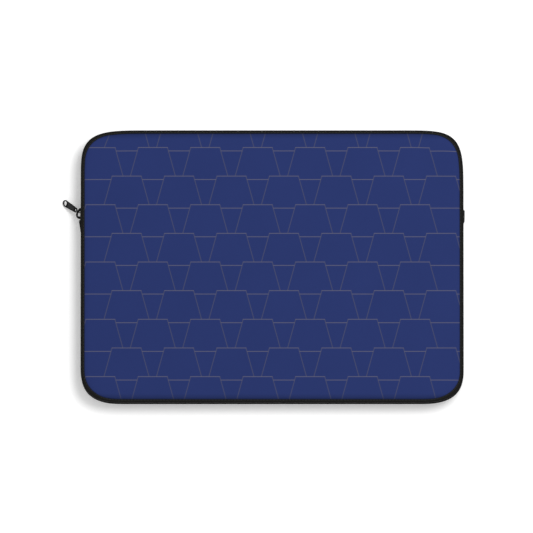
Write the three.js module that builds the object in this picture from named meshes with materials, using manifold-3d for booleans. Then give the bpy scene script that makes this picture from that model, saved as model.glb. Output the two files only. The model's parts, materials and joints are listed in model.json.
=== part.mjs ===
// A padded laptop sleeve, lying on its back panel with the zipped edge towards +Y.
//
// Two laminated panels (printed fabric, foam, lining) are edged with a folded binding tape. A wall joins
// them all round: a coil zip over the top and halfway down both sides, and a padded gusset below it.
// The front panel bends open along a line above the zip's ends, so its layers are made as a lower part,
// which stays with the back, and an upper part, the mouth flap. The slider runs up the left side and
// carries a wire link and a pull tab.
//
// Millimetres, +Z up. The origin is the centre of the back panel's outer face.
import * as THREE from "three";
import { mergeVertices } from "three/addons/utils/BufferGeometryUtils.js";
import Module from "manifold-3d";

// ---------------------------------------------------------------- driving dimensions
const WIDTH = 345;
const HEIGHT = 246;
const THICKNESS = 24;
const CORNER_RADIUS = 27.5;
const ARC_STEPS = 9; // facets in each corner

// The panels' layers, from the outside in.
const FACE = 0.6;
const FOAM = 2.9;
const LINING = 0.6;
const LAYER_GAP = 0.2;
const PANEL = FACE + FOAM + LINING + 2 * LAYER_GAP;

// The binding tape folded over a panel's edge. It shows wider at the sides than at the top and bottom.
const BINDING_SIDE = 3.6;
const BINDING_END = 2.8;
const BINDING_DEPTH = 4.7;
const BINDING_ROUND = 1.1;
const BINDING_SKIN = 0.7;
const SEAM_GAP = 0.3;

// The line that the front panel bends along, and the joint between its two parts.
const BEND_Y = 57;
const BEND_GAP = 0.2;

// The zip. Insets are measured inwards from the sleeve's outer edge, across half the wall from its middle.
const COIL_INSET = [0.65, 2.3];
const COIL_SPAN = [0.4, 3.1];
const TAPE_INSET = [2.5, 3.0];
const TAPE_SPAN = [0.5, THICKNESS / 2 - BINDING_DEPTH - LAYER_GAP];
const LEFT_ZIP_END = 33;
const RIGHT_ZIP_END = 42;

// The gusset starts where the zip tape ends, under the end tab that covers the join.
const GUSSET_INSET = [1.3, 3.0];
const END_TAB_LENGTH = 11.3;
const END_TAB_LEFT = 31.1;
const END_TAB_RIGHT = 40.1;
const END_TAB_INSET = [-1.3, 0];
const END_TAB_ROUND = 0.5;

// The stop that clamps both coils at each end of the zip, under the end tab.
const STOP_INSET = [0.2, 1.1];
const STOP_LENGTH = 1.3;
const STOP_HALF_WIDTH = 3.2;

// The padded tape that covers the raw seam inside.
const SEAM_TAPE_INSET = [3.2, 6.0];
const SEAM_TAPE_DEPTH = 2.5;

// The slider, centred on the chain of the left side.
const SLIDER_Y = 48.1;
const SLIDER_LENGTH = 11;
const PLATE = 0.9;
const OUTER_PLATE_INSET = -0.55;
const INNER_PLATE_INSET = 3.25;
const FLANGE_SPAN = [3.4, 4.2];
const FLANGE_LENGTH = 7.5;
const FLANGE_DEPTH = 1.8;
const POST_WIDTH = 0.4; // runs in the gap between the two coils
const POST_LENGTH = 3.5;
const UPPER_FOOT = { proud: 1.6, low: 2.6, high: 5.3, halfWidth: 1.3 }; // of the bridge
const LOWER_FOOT = { proud: 2.3, low: -3.8, high: -2.1, halfWidth: 0.7 };
const BRIDGE_WIRE = 1.5;
const LINK_PIVOT = [-2.5, 2.25]; // where the link hangs on the bridge

// The link and the tab droop from the bridge until the tab's tip is just above the ground.
const PULL_AZIMUTH = 144.8; // direction of the tab seen from above, from +X
const PULL_DROOP = 31.5;
const TAB_ROLL = -35; // how far the tab is turned about its own length, on the loose link
const LINK_WIRE = 0.6;
const LINK_LENGTH = 2.3; // middle of the bridge's wire to the middle of the link's far bar
const LINK_BACK = 1.3; // and to its near bar
const LINK_INNER = 1.1; // half its inner width
const EYE_SLACK = 0.4; // from the far bar to the middle of the tab's small hole
const EYE_RADIUS = 1.15;
const TAB_END = { middle: 0.5, along: 2.1, across: 2.2 }; // the round end with the small hole
const TAB_LENGTH = 16.8; // small hole to tip
const TAB_THICKNESS = 1.1;
const TAB_HALF_WIDTH = 3.1;
const WINDOW = { fromTip: 3.1, along: 1.5, across: 2.4 }; // half sizes of the hole near the tip

const LABEL = { length: 24, width: 15, thickness: 0.25, y: 74 };

// ---------------------------------------------------------------- materials
const finish = (color, roughness, metalness = 0) =>
  new THREE.MeshStandardMaterial({ color, roughness, metalness });
const PRINT = finish(0x2d3b6c, 0.85);
const NEOPRENE = finish(0x1c1c1e, 0.9);
const FLEECE = finish(0x151517, 1.0);
const BINDING = finish(0x1f1f1f, 0.8);
const TAPE = finish(0x1a1a1b, 0.85);
const NYLON = finish(0x161616, 0.45);
const METAL = finish(0x101010, 0.35, 0.6);
const SATIN = finish(0xe8e6e0, 0.6);

// ---------------------------------------------------------------- outlines
const both = (value) => ({ x: value, y: value });

// The sleeve's outline, moved inwards, from the left side to the right over the top (side 1) or round
// the bottom (side -1).
function halfLoop(inset, side, leftY, rightY) {
  const a = WIDTH / 2 - inset.x;
  const b = HEIGHT / 2 - inset.y;
  const r = CORNER_RADIUS - (inset.x + inset.y) / 2;
  const top = (side * Math.PI) / 2;
  const left = new THREE.EllipseCurve(r - a, side * (b - r), r, r, Math.PI, top, side > 0);
  const right = new THREE.EllipseCurve(a - r, side * (b - r), r, r, top, 0, side > 0);
  return [
    new THREE.Vector2(-a, leftY),
    ...left.getPoints(ARC_STEPS),
    ...right.getPoints(ARC_STEPS),
    new THREE.Vector2(a, rightY),
  ];
}

const fullLoop = (inset) => [
  ...halfLoop(inset, -1, 0, 0).slice(1, -1),
  ...halfLoop(inset, 1, 0, 0).slice(1, -1).reverse(),
];

// A whole panel outline, or the part of it above (side 1) or below (side -1) the height y.
const panelShape = (inset) => new THREE.Shape(fullLoop(inset));
const partShape = (inset, side, y) => new THREE.Shape(halfLoop(inset, side, y, y));

// A closed ring, or an open band over the top or round the bottom.
function ringShape(outer, inner) {
  const shape = new THREE.Shape(fullLoop(outer));
  shape.holes.push(new THREE.Path(fullLoop(inner)));
  return shape;
}
function bandShape(outer, inner, side, leftY, rightY) {
  const outside = halfLoop(outer, side, leftY, rightY);
  const inside = halfLoop(inner, side, leftY, rightY);
  return new THREE.Shape([...outside, ...inside.reverse()]);
}

// ---------------------------------------------------------------- solids
const wasm = await Module();
wasm.setup();

function solidOf(geometry) {
  const bare = new THREE.BufferGeometry().setAttribute("position", geometry.getAttribute("position"));
  if (geometry.index) bare.setIndex(geometry.index);
  const merged = mergeVertices(bare, 1e-4);
  const vertProperties = merged.getAttribute("position").array;
  const triVerts = new Uint32Array(merged.index.array);
  return new wasm.Manifold(new wasm.Mesh({ numProp: 3, vertProperties, triVerts }));
}

function geometryOf(solid) {
  const mesh = solid.getMesh();
  const geometry = new THREE.BufferGeometry();
  geometry.setAttribute("position", new THREE.BufferAttribute(mesh.vertProperties, 3));
  geometry.setIndex(new THREE.BufferAttribute(mesh.triVerts, 1));
  geometry.computeVertexNormals();
  return geometry;
}

// The shape from one height to another, with its edges rounded.
function slab(shape, [low, high], round = 0) {
  const geometry = new THREE.ExtrudeGeometry(shape, {
    depth: high - low - 2 * round,
    curveSegments: 16,
    bevelEnabled: round > 0,
    bevelThickness: round,
    bevelSize: round,
    bevelOffset: -round,
    bevelSegments: 2,
  });
  return geometry.translate(0, 0, low + round);
}

// Heights counted from a panel's outer face: upwards from the back, downwards from the front.
const heights = (isFront, low, high) =>
  isFront ? [THICKNESS - high, THICKNESS - low] : [low, high];

// Heights counted from the middle of the wall, for the coil or tape on one side of it.
const fromMiddle = (isFront, [near, far]) =>
  isFront ? [THICKNESS / 2 + near, THICKNESS / 2 + far] : [THICKNESS / 2 - far, THICKNESS / 2 - near];

// A straight bar along the left (-1) or right (1) side.
function sideBar(side, [near, far], [lowY, highY], [lowZ, highZ], round = 0) {
  const a = side * (WIDTH / 2 - near);
  const b = side * (WIDTH / 2 - far);
  const corners = [[a, lowY], [a, highY], [b, highY], [b, lowY]];
  return slab(new THREE.Shape(corners.map(([x, y]) => new THREE.Vector2(x, y))), [lowZ, highZ], round);
}

const sleeve = new THREE.Group();
function piece(name, geometry, material, parent = sleeve) {
  const mesh = new THREE.Mesh(geometry, material);
  mesh.name = name;
  parent.add(mesh);
  return mesh;
}

// ---------------------------------------------------------------- panels
const FACE_INSET = { x: BINDING_SIDE + SEAM_GAP, y: BINDING_END + SEAM_GAP };
const FOAM_INSET = both(BINDING_SKIN + 2 * SEAM_GAP);

// The three layers of a panel, or of its part cut by shapeOf.
function panelLayers(prefix, isFront, shapeOf) {
  const foamLow = FACE + LAYER_GAP;
  const liningLow = foamLow + FOAM + LAYER_GAP;
  piece(prefix + "_printed_face", slab(shapeOf(FACE_INSET), heights(isFront, 0, FACE)), PRINT);
  piece(prefix + "_foam", slab(shapeOf(FOAM_INSET), heights(isFront, foamLow, foamLow + FOAM)), NEOPRENE);
  piece(prefix + "_lining", slab(shapeOf(FACE_INSET), heights(isFront, liningLow, PANEL)), FLEECE);
}

// A binding: a rounded bead with a channel that holds the foam's edge.
function binding(name, isFront, beadShape) {
  const bead = solidOf(slab(beadShape, heights(isFront, 0, BINDING_DEPTH), BINDING_ROUND));
  const channelHeights = heights(isFront, BINDING_SKIN, PANEL - BINDING_SKIN);
  const channel = solidOf(slab(panelShape(both(BINDING_SKIN + SEAM_GAP)), channelHeights));
  piece(name, geometryOf(bead.subtract(channel)), BINDING);
}

const BEAD = { x: BINDING_SIDE, y: BINDING_END };
const seamTapeHeights = (isFront) =>
  heights(isFront, BINDING_DEPTH + LAYER_GAP, BINDING_DEPTH + LAYER_GAP + SEAM_TAPE_DEPTH);
const [seamOut, seamIn] = SEAM_TAPE_INSET.map(both);

// The three stretches of a side: up to the first corner's end, the straight run, and the last corner.
function stretches(total, [first, last]) {
  const end = total / 2 - CORNER_RADIUS;
  const gap = SEAM_GAP / 2;
  return [[first, -total, -end - gap], ["", gap - end, end - gap], [last, end + gap, total]];
}

// A seam tape is one strip. It is made as straight runs and corners, which are simple enough for
// collision to stay out of the laptop's space.
function seamTape(prefix, isFront, shape) {
  const whole = solidOf(slab(shape, seamTapeHeights(isFront), 0.6));
  for (const [row, lowY, highY] of stretches(HEIGHT, ["_bottom", "_top"])) {
    for (const [column, lowX, highX] of stretches(WIDTH, ["_left", "_right"])) {
      const box = new THREE.BoxGeometry(highX - lowX, highY - lowY, 4 * THICKNESS);
      const run = whole.intersect(solidOf(box.translate((lowX + highX) / 2, (lowY + highY) / 2, 0)));
      if (!run.isEmpty()) piece(`${prefix}_seam_tape${row}${column}`, geometryOf(run), BINDING);
    }
  }
}

panelLayers("back", false, panelShape);
binding("back_binding", false, ringShape(both(0), BEAD));
seamTape("back", false, ringShape(seamOut, seamIn));

for (const [prefix, side] of [["front_lower", -1], ["front_flap", 1]]) {
  const edgeY = BEND_Y + side * BEND_GAP;
  panelLayers(prefix, true, (inset) => partShape(inset, side, edgeY));
  binding(prefix + "_binding", true, bandShape(both(0), BEAD, side, edgeY, edgeY));
  seamTape(prefix, true, bandShape(seamOut, seamIn, side, edgeY, edgeY));
}

// ---------------------------------------------------------------- zip
const zipLayers = [
  { name: "zip_tape", inset: TAPE_INSET, span: TAPE_SPAN, material: TAPE, round: 0 },
  { name: "zip_coil", inset: COIL_INSET, span: COIL_SPAN, material: NYLON, round: 0.5 },
];
for (const { name, inset, span, material, round } of zipLayers) {
  const [outer, inner] = inset.map(both);
  const whole = bandShape(outer, inner, 1, LEFT_ZIP_END, RIGHT_ZIP_END);
  piece("back_" + name, slab(whole, fromMiddle(false, span), round), material);
  const flap = bandShape(outer, inner, 1, BEND_Y + BEND_GAP, BEND_Y + BEND_GAP);
  piece("flap_" + name, slab(flap, fromMiddle(true, span), round), material);
  for (const [label, side, end] of [["left", -1, LEFT_ZIP_END], ["right", 1, RIGHT_ZIP_END]]) {
    const reach = [end, BEND_Y - BEND_GAP];
    const bar = sideBar(side, inset, reach, fromMiddle(true, span), round);
    piece(`front_${name}_${label}_end`, bar, material);
  }
}

// ---------------------------------------------------------------- gusset, end tabs and label
const wallHeights = [BINDING_DEPTH + LAYER_GAP, THICKNESS - BINDING_DEPTH - LAYER_GAP];
const [gussetOut, gussetIn] = GUSSET_INSET.map(both);
const gussetBand = bandShape(gussetOut, gussetIn, -1, LEFT_ZIP_END - SEAM_GAP, RIGHT_ZIP_END - SEAM_GAP);
piece("bottom_gusset", slab(gussetBand, wallHeights, 0.4), BINDING);

const zipEnds = [
  { label: "left", side: -1, zipEnd: LEFT_ZIP_END, tabLow: END_TAB_LEFT },
  { label: "right", side: 1, zipEnd: RIGHT_ZIP_END, tabLow: END_TAB_RIGHT },
];
const stopHeights = [THICKNESS / 2 - STOP_HALF_WIDTH, THICKNESS / 2 + STOP_HALF_WIDTH];
for (const { label, side, zipEnd, tabLow } of zipEnds) {
  const tabReach = [tabLow, tabLow + END_TAB_LENGTH];
  const tab = sideBar(side, END_TAB_INSET, tabReach, wallHeights, END_TAB_ROUND);
  piece(`zip_end_tab_${label}`, tab, BINDING);
  const stopReach = [zipEnd - SEAM_GAP - STOP_LENGTH, zipEnd - SEAM_GAP];
  piece(`zip_stop_${label}`, sideBar(side, STOP_INSET, stopReach, stopHeights), METAL);
}

// The blank care label lies on the back lining, its end at the left seam tape.
const labelZ = PANEL + LAYER_GAP;
const labelStart = SEAM_TAPE_INSET[1] + SEAM_GAP;
const labelInset = [labelStart, labelStart + LABEL.length];
const labelReach = [LABEL.y, LABEL.y + LABEL.width];
const labelBar = sideBar(-1, labelInset, labelReach, [labelZ, labelZ + LABEL.thickness]);
piece("care_label", labelBar, SATIN);

// ---------------------------------------------------------------- slider
// Its own frame: x inwards from the sleeve's edge, y along the chain, z across it.
function plateGeometry(insetX) {
  const tail = SLIDER_LENGTH / 2;
  const nose = -SLIDER_LENGTH / 2;
  const widest = FLANGE_SPAN[1] + 0.1;
  const shape = new THREE.Shape();
  shape.moveTo(tail, -2.4);
  shape.quadraticCurveTo(tail, -3.2, tail - 1.2, -3.5);
  shape.lineTo(nose + 3, -widest);
  shape.quadraticCurveTo(nose, -widest, nose, -2.2);
  shape.lineTo(nose + 0.9, 0);
  shape.lineTo(nose, 2.2);
  shape.quadraticCurveTo(nose, widest, nose + 3, widest);
  shape.lineTo(tail - 1.2, 3.5);
  shape.quadraticCurveTo(tail, 3.2, tail, 2.4);
  const axes = [[0, 1, 0], [0, 0, 1], [1, 0, 0]].map((axis) => new THREE.Vector3(...axis));
  const geometry = slab(shape, [0, PLATE], 0.2);
  return geometry.applyMatrix4(new THREE.Matrix4().makeBasis(...axes)).translate(insetX, 0, 0);
}

function sliderGeometry() {
  const inward = OUTER_PLATE_INSET + PLATE;
  const parts = [plateGeometry(OUTER_PLATE_INSET), plateGeometry(INNER_PLATE_INSET)];
  for (const sign of [-1, 1]) {
    const width = FLANGE_SPAN[1] - FLANGE_SPAN[0];
    const flange = new THREE.BoxGeometry(FLANGE_DEPTH, FLANGE_LENGTH, width);
    const across = (sign * (FLANGE_SPAN[0] + FLANGE_SPAN[1])) / 2;
    parts.push(flange.translate(inward + FLANGE_DEPTH / 2 - 0.2, -0.9, across));
  }
  const between = INNER_PLATE_INSET - inward + 0.4;
  const post = new THREE.BoxGeometry(between, POST_LENGTH, POST_WIDTH);
  parts.push(post.translate(inward - 0.2 + between / 2, -SLIDER_LENGTH / 2 + 1.2 + POST_LENGTH / 2, 0));

  for (const { proud, low, high, halfWidth } of [UPPER_FOOT, LOWER_FOOT]) {
    const foot = new THREE.BoxGeometry(proud, high - low, 2 * halfWidth);
    parts.push(foot.translate(-proud / 2, (low + high) / 2, 0));
  }

  // The bridge's middle line: its upper arm leans across the direction that the pull points in.
  const upper = [[-0.2, 4.6], [-1.2, 4.0], LINK_PIVOT];
  const points = [...upper, [-3.3, 0.7], [-3.55, -0.7], [-3.15, -2.3], [-2, -3.35], [-0.2, -3.65]];
  const line = points.map(([x, y]) => new THREE.Vector3(x, y, 0));
  const wire = new THREE.Shape().absarc(0, 0, BRIDGE_WIRE / 2, 0, 2 * Math.PI);
  const extrudePath = new THREE.CatmullRomCurve3(line, false, "centripetal");
  parts.push(new THREE.ExtrudeGeometry(wire, { steps: 20, curveSegments: 5, extrudePath }));
  return geometryOf(parts.map(solidOf).reduce((whole, part) => whole.add(part)));
}

const slider = new THREE.Group();
slider.position.set(-WIDTH / 2, SLIDER_Y, THICKNESS / 2);
sleeve.add(slider);
piece("slider_body", sliderGeometry(), METAL, slider);

// ---------------------------------------------------------------- pull link and tab
// Their frame: x along the pull, y along the bridge wire that the link hangs on.
const pull = new THREE.Group();
pull.position.set(...LINK_PIVOT, 0);
pull.rotation.set(0, THREE.MathUtils.degToRad(PULL_DROOP), THREE.MathUtils.degToRad(PULL_AZIMUTH), "ZYX");
slider.add(pull);

// The link's ends are square to its sides, so that its bars cross the bridge and the tab's hole.
function linkGeometry() {
  const outer = LINK_INNER + LINK_WIRE;
  const shape = new THREE.Shape();
  const start = -LINK_BACK - LINK_WIRE / 2;
  const end = LINK_LENGTH + LINK_WIRE / 2;
  const corner = 0.9;
  shape.moveTo(start + corner, -outer);
  shape.lineTo(end - corner, -outer);
  shape.quadraticCurveTo(end, -outer, end, corner - outer);
  shape.lineTo(end, outer - corner);
  shape.quadraticCurveTo(end, outer, end - corner, outer);
  shape.lineTo(start + corner, outer);
  shape.quadraticCurveTo(start, outer, start, outer - corner);
  shape.lineTo(start, corner - outer);
  shape.quadraticCurveTo(start, -outer, start + corner, -outer);
  const hole = new THREE.Path();
  hole.moveTo(start + LINK_WIRE, -LINK_INNER);
  hole.lineTo(end - LINK_WIRE, -LINK_INNER);
  hole.lineTo(end - LINK_WIRE, LINK_INNER);
  hole.lineTo(start + LINK_WIRE, LINK_INNER);
  shape.holes.push(hole);
  const geometry = slab(shape, [-LINK_WIRE / 2, LINK_WIRE / 2], 0.15);
  return geometry.rotateX(Math.PI / 2);
}

// The tab's frame starts at its small hole, which turns on the link's far bar.
function tabGeometry() {
  const capLength = 3.2;
  const capStart = TAB_LENGTH - capLength;
  const shape = new THREE.Shape();
  const { middle, along: endLength, across: endWidth } = TAB_END;
  shape.absellipse(middle, 0, endLength, endWidth, Math.PI / 2, (3 * Math.PI) / 2, false);
  shape.lineTo(capStart, -TAB_HALF_WIDTH);
  shape.absellipse(capStart, 0, capLength, TAB_HALF_WIDTH, -Math.PI / 2, Math.PI / 2, false);
  shape.holes.push(new THREE.Path().absarc(0, 0, EYE_RADIUS, 0, 2 * Math.PI));
  const { fromTip, along, across } = WINDOW;
  const windowX = TAB_LENGTH - fromTip;
  shape.holes.push(new THREE.Path().absellipse(windowX, 0, along, across, 0, 2 * Math.PI));
  return slab(shape, [-TAB_THICKNESS / 2, TAB_THICKNESS / 2], 0.2);
}

piece("pull_link", linkGeometry(), METAL, pull);
const tab = piece("pull_tab", tabGeometry(), METAL, pull);
tab.position.x = LINK_LENGTH + EYE_SLACK;
tab.rotation.x = THREE.MathUtils.degToRad(TAB_ROLL);

export default sleeve;
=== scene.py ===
import json
import math

import bmesh
import bpy
import numpy as np
from mathutils import Matrix, Vector


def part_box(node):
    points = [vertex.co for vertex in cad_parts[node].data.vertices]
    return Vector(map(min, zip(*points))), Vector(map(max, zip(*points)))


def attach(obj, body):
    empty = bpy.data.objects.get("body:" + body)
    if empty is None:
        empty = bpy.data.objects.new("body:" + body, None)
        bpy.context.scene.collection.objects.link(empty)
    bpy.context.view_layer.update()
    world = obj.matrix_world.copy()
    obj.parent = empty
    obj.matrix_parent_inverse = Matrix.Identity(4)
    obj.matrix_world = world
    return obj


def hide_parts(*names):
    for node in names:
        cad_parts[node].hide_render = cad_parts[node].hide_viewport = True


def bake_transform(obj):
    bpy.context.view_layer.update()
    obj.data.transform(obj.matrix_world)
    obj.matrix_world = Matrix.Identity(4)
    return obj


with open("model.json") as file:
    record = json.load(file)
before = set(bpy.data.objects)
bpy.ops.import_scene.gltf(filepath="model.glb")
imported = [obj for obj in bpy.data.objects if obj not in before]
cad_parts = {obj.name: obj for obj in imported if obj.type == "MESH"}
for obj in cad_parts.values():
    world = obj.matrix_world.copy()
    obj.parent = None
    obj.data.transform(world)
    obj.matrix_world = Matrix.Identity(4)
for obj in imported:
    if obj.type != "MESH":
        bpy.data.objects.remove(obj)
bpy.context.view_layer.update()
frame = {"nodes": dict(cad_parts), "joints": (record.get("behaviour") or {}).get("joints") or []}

# A padded laptop sleeve lying on its back, in metres: +X right, +Y towards the zipped edge, +Z out of
# the printed front. The outline, heights and joints come from the frame. The front's pieces run over
# the bend in one length.
MM = 0.001
TAU = 2 * math.pi


# ---- what the frame says
def joint(name):
    return next(j for j in frame["joints"] if j["name"] == name)


edge_low, edge_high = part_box("back_binding")
HALF_WIDTH, HALF_HEIGHT = edge_high.x, edge_high.y
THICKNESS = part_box("front_lower_binding")[1].z
MIDDLE = THICKNESS / 2
CORNER = 27.5 * MM  # the outline's corner radius
BEAD = edge_high.z - edge_low.z
ZIP_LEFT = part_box("front_zip_coil_left_end")[0].y
ZIP_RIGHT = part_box("front_zip_coil_right_end")[0].y

# How far the binding reaches over the face, in millimetres: along the sides, along the top and bottom,
# and what is added in the corners, where the folded tape eases inwards.
BINDING_SIDE = 3.5
BINDING_END = 3.0
BINDING_CORNER = 0.8


# ---- paths round the sleeve
def distances(points):
    """How far each point is along the line through them all."""
    return np.concatenate([[0], np.cumsum(np.hypot(*np.diff(points, axis=0).T))])


def outline(side, left_y, right_y, step, arc_step):
    """Points of the outer outline from the left side to the right, over the top (side 1) or round the
    bottom (-1). Each row is x, y, the outward normal's x and y, and the distance along."""
    a, b, r = HALF_WIDTH, HALF_HEIGHT, CORNER
    rows = []

    def straight(start, end, normal):
        count = max(2, round(math.dist(start, end) / step) + 1)
        for t in np.linspace(0, 1, count):
            x = start[0] + (end[0] - start[0]) * t
            y = start[1] + (end[1] - start[1]) * t
            rows.append((x, y, *normal))

    def arc(cx, cy, start, end):
        count = max(3, round(abs(end - start) * r / arc_step) + 1)
        for angle in np.linspace(start, end, count)[1:-1]:
            nx, ny = math.cos(angle), math.sin(angle)
            rows.append((cx + r * nx, cy + r * ny, nx, ny))

    shoulder = side * (b - r)
    straight((-a, left_y), (-a, shoulder), (-1, 0))
    arc(r - a, shoulder, math.pi, math.pi - side * math.pi / 2)
    straight((r - a, side * b), (a - r, side * b), (0, side))
    arc(a - r, shoulder, side * math.pi / 2, 0)
    straight((a, shoulder), (a, right_y), (1, 0))
    rows = np.array(rows)
    return np.column_stack([rows, distances(rows[:, :2])])


def loop(step, arc_step):
    """The whole outline, clockwise seen from the front, starting on the left side."""
    top = outline(1, 0, 0, step, arc_step)
    bottom = outline(-1, 0, 0, step, arc_step)[::-1]
    rows = np.vstack([top, bottom[1:-1]])
    rows[:, 4] = distances(rows[:, :2])
    return rows


def along(path, wanted):
    """The path's rows at the wanted distances."""
    columns = [np.interp(wanted, path[:, 4], path[:, k]) for k in range(4)]
    return np.column_stack([*columns, wanted])


def place(row, inset, z):
    return (row[0] - row[2] * inset, row[1] - row[3] * inset, z)


# ---- meshes
def add_object(name, data):
    thing = bpy.data.objects.new(name, data)
    bpy.context.scene.collection.objects.link(thing)
    return thing


def face_outwards(mesh, weld=0):
    """Turns every face outwards. Points closer together than weld metres are made one first."""
    work = bmesh.new()
    work.from_mesh(mesh)
    if weld:
        bmesh.ops.remove_doubles(work, verts=work.verts, dist=weld)
    bmesh.ops.recalc_face_normals(work, faces=work.faces)
    work.to_mesh(mesh)
    work.free()


def new_piece(name, vertices, faces, material, uvs=None):
    """An object from points and faces. uvs holds one pair for each corner of each face."""
    mesh = bpy.data.meshes.new(name)
    mesh.from_pydata([tuple(v) for v in vertices], [], faces)
    mesh.materials.append(material)
    if uvs is not None:
        layer = mesh.uv_layers.new(name="flat")
        layer.data.foreach_set("uv", np.array(uvs, np.float32).ravel())
    mesh.shade_smooth()
    face_outwards(mesh)
    return add_object(name, mesh)


def crease(piece, degrees):
    """Smooth shading that breaks at edges sharper than an angle."""
    piece.data.set_sharp_from_angle(angle=math.radians(degrees))
    return piece


def ring_faces(rings, sides, base=0, closed=False):
    """The faces between rings of points. A closed run joins its last ring to its first."""
    faces = []
    for i in range(rings if closed else rings - 1):
        near, far = base + i * sides, base + (i + 1) % rings * sides
        for k in range(sides):
            h = (k + 1) % sides
            faces.append((near + k, near + h, far + h, far + k))
    return faces


def ring_uvs(along_path, around):
    """The uvs of ring_faces, from the distances along the path and round the ring."""
    uvs = []
    for low, high in zip(along_path, along_path[1:]):
        for near, far in zip(around, around[1:]):
            uvs += [(low, near), (low, far), (high, far), (high, near)]
    return uvs


def end_faces(rings, sides, base=0):
    """The faces that close the first and the last ring."""
    last = base + (rings - 1) * sides
    return [tuple(range(base, base + sides)), tuple(range(last, last + sides))]


def grid_quads(nx, ny):
    """The faces of a grid of nx by ny points."""
    corners = [j * nx + i for j in range(ny - 1) for i in range(nx - 1)]
    return [(k, k + 1, k + nx + 1, k + nx) for k in corners]


def grid_sides(nx, ny, base=0):
    """The faces that join the edges of two such grids, whose points follow each other."""
    rim = list(range(nx)) + [j * nx + nx - 1 for j in range(1, ny)]
    rim += [(ny - 1) * nx + i for i in range(nx - 2, -1, -1)] + [j * nx for j in range(ny - 2, 0, -1)]
    far = base + nx * ny
    return [(base + k, base + h, far + h, far + k) for k, h in zip(rim, rim[1:] + rim[:1])]


def sweep(name, path, profile, material, closed=False):
    """A closed profile carried along a path. profile(row) gives its (inset, z) points. The uv is the
    distance along the path and round the profile."""
    rings = [np.array(profile(row)) for row in path]
    count, sides = len(rings), len(rings[0])
    vertices = [place(row, i, z) for row, ring in zip(path, rings) for i, z in ring]
    run = path[:, 4]
    if closed:
        run = np.append(run, run[-1] + np.hypot(*(path[0, :2] - path[-1, :2])))
    faces = ring_faces(count, sides, closed=closed)
    uvs = ring_uvs(run, distances(np.vstack([rings[0], rings[0][:1]])))
    if not closed:
        faces += end_faces(count, sides)
        for i in (0, -1):
            uvs += [(run[i] + inset, z) for inset, z in rings[i]]
    return crease(new_piece(name, vertices, faces, material, uvs), 50)


def tube(points, radius, sides):
    """Vertices and faces of a round wire along points, with closed ends. The radius is one number, or
    one for each point."""
    points = np.array(points, float)
    radii = np.broadcast_to(radius, len(points))
    tangents = np.gradient(points, axis=0)
    tangents /= np.linalg.norm(tangents, axis=1)[:, None]
    aslant = (0.3, 0.5, 0.81)  # any way that no wire starts in
    normal = np.cross(tangents[0], aslant)
    vertices = []
    turns = [TAU * k / sides for k in range(sides)]
    for point, tangent, r in zip(points, tangents, radii):
        normal = normal - tangent * normal.dot(tangent)
        normal /= np.linalg.norm(normal)
        across = np.cross(tangent, normal)
        vertices += [point + r * (math.cos(t) * normal + math.sin(t) * across) for t in turns]
    return vertices, ring_faces(len(points), sides) + end_faces(len(points), sides)


def smooth_step(t):
    """0 up to t = 0, 1 from t = 1, and an even turn between."""
    t = np.clip(t, 0, 1)
    return t * t * (3 - 2 * t)


# ---- materials
class Shader:
    """A node material with one Principled shader. Plain numbers go on the sockets."""

    def __init__(self, name, color, roughness, **values):
        self.material = bpy.data.materials.new(name)
        self.material.use_nodes = True
        self.tree = self.material.node_tree
        self.bsdf = self.tree.nodes["Principled BSDF"]
        self.material.diffuse_color = (*color, 1)
        self.bsdf.inputs["Base Color"].default_value = (*color, 1)
        self.bsdf.inputs["Roughness"].default_value = roughness
        for socket, value in values.items():
            self.bsdf.inputs[socket.replace("_", " ")].default_value = value
        flat = self.add("ShaderNodeUVMap")
        flat.uv_map = "flat"
        self.uv = flat.outputs["UV"]
        split = self.add("ShaderNodeSeparateXYZ")
        self.link(self.uv, split.inputs[0])
        self.u, self.v = (self.math("MULTIPLY", split.outputs[k], 1 / MM) for k in (0, 1))

    def add(self, kind):
        return self.tree.nodes.new(kind)

    def link(self, output, socket):
        self.tree.links.new(output, socket)

    def put(self, value, socket):
        if isinstance(value, bpy.types.NodeSocket):
            self.link(value, socket)
        else:
            socket.default_value = value

    def math(self, operation, *values, clamp=False):
        node = self.add("ShaderNodeMath")
        node.operation = operation
        node.use_clamp = clamp
        for value, socket in zip(values, node.inputs):
            self.put(value, socket)
        return node.outputs[0]

    def mix(self, share, first, second):
        node = self.add("ShaderNodeMix")
        node.data_type = "RGBA"
        self.put(share, node.inputs["Factor"])
        for value, socket in ((first, node.inputs[6]), (second, node.inputs[7])):
            self.put((*value, 1) if isinstance(value, tuple) else value, socket)
        return node.outputs[2]

    def noise(self, scale, detail=3.0, at=None):
        """Noise from 0 to 1 whose grain is about 1 / scale metres."""
        node = self.add("ShaderNodeTexNoise")
        node.inputs["Scale"].default_value = scale
        node.inputs["Detail"].default_value = detail
        self.link(at or self.uv, node.inputs["Vector"])
        return node.outputs["Fac"]

    def wave(self, coordinate, pitch):
        """A sine from 0 to 1 of a coordinate in millimetres."""
        turn = self.math("MULTIPLY", coordinate, TAU / pitch)
        return self.math("MULTIPLY_ADD", self.math("SINE", turn), 0.5, 0.5)

    def bump(self, height, distance, strength):
        node = self.add("ShaderNodeBump")
        node.inputs["Distance"].default_value = distance
        node.inputs["Strength"].default_value = strength
        self.link(height, node.inputs["Height"])
        self.link(node.outputs["Normal"], self.bsdf.inputs["Normal"])

    def color(self, value):
        self.link(value, self.bsdf.inputs["Base Color"])

    def roughness(self, value):
        self.link(value, self.bsdf.inputs["Roughness"])


def srgb(*values):
    """Linear colour from 8-bit sRGB values."""
    return tuple(((v / 255 + 0.055) / 1.055) ** 2.4 if v > 10 else v / 3294 for v in values)


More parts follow.
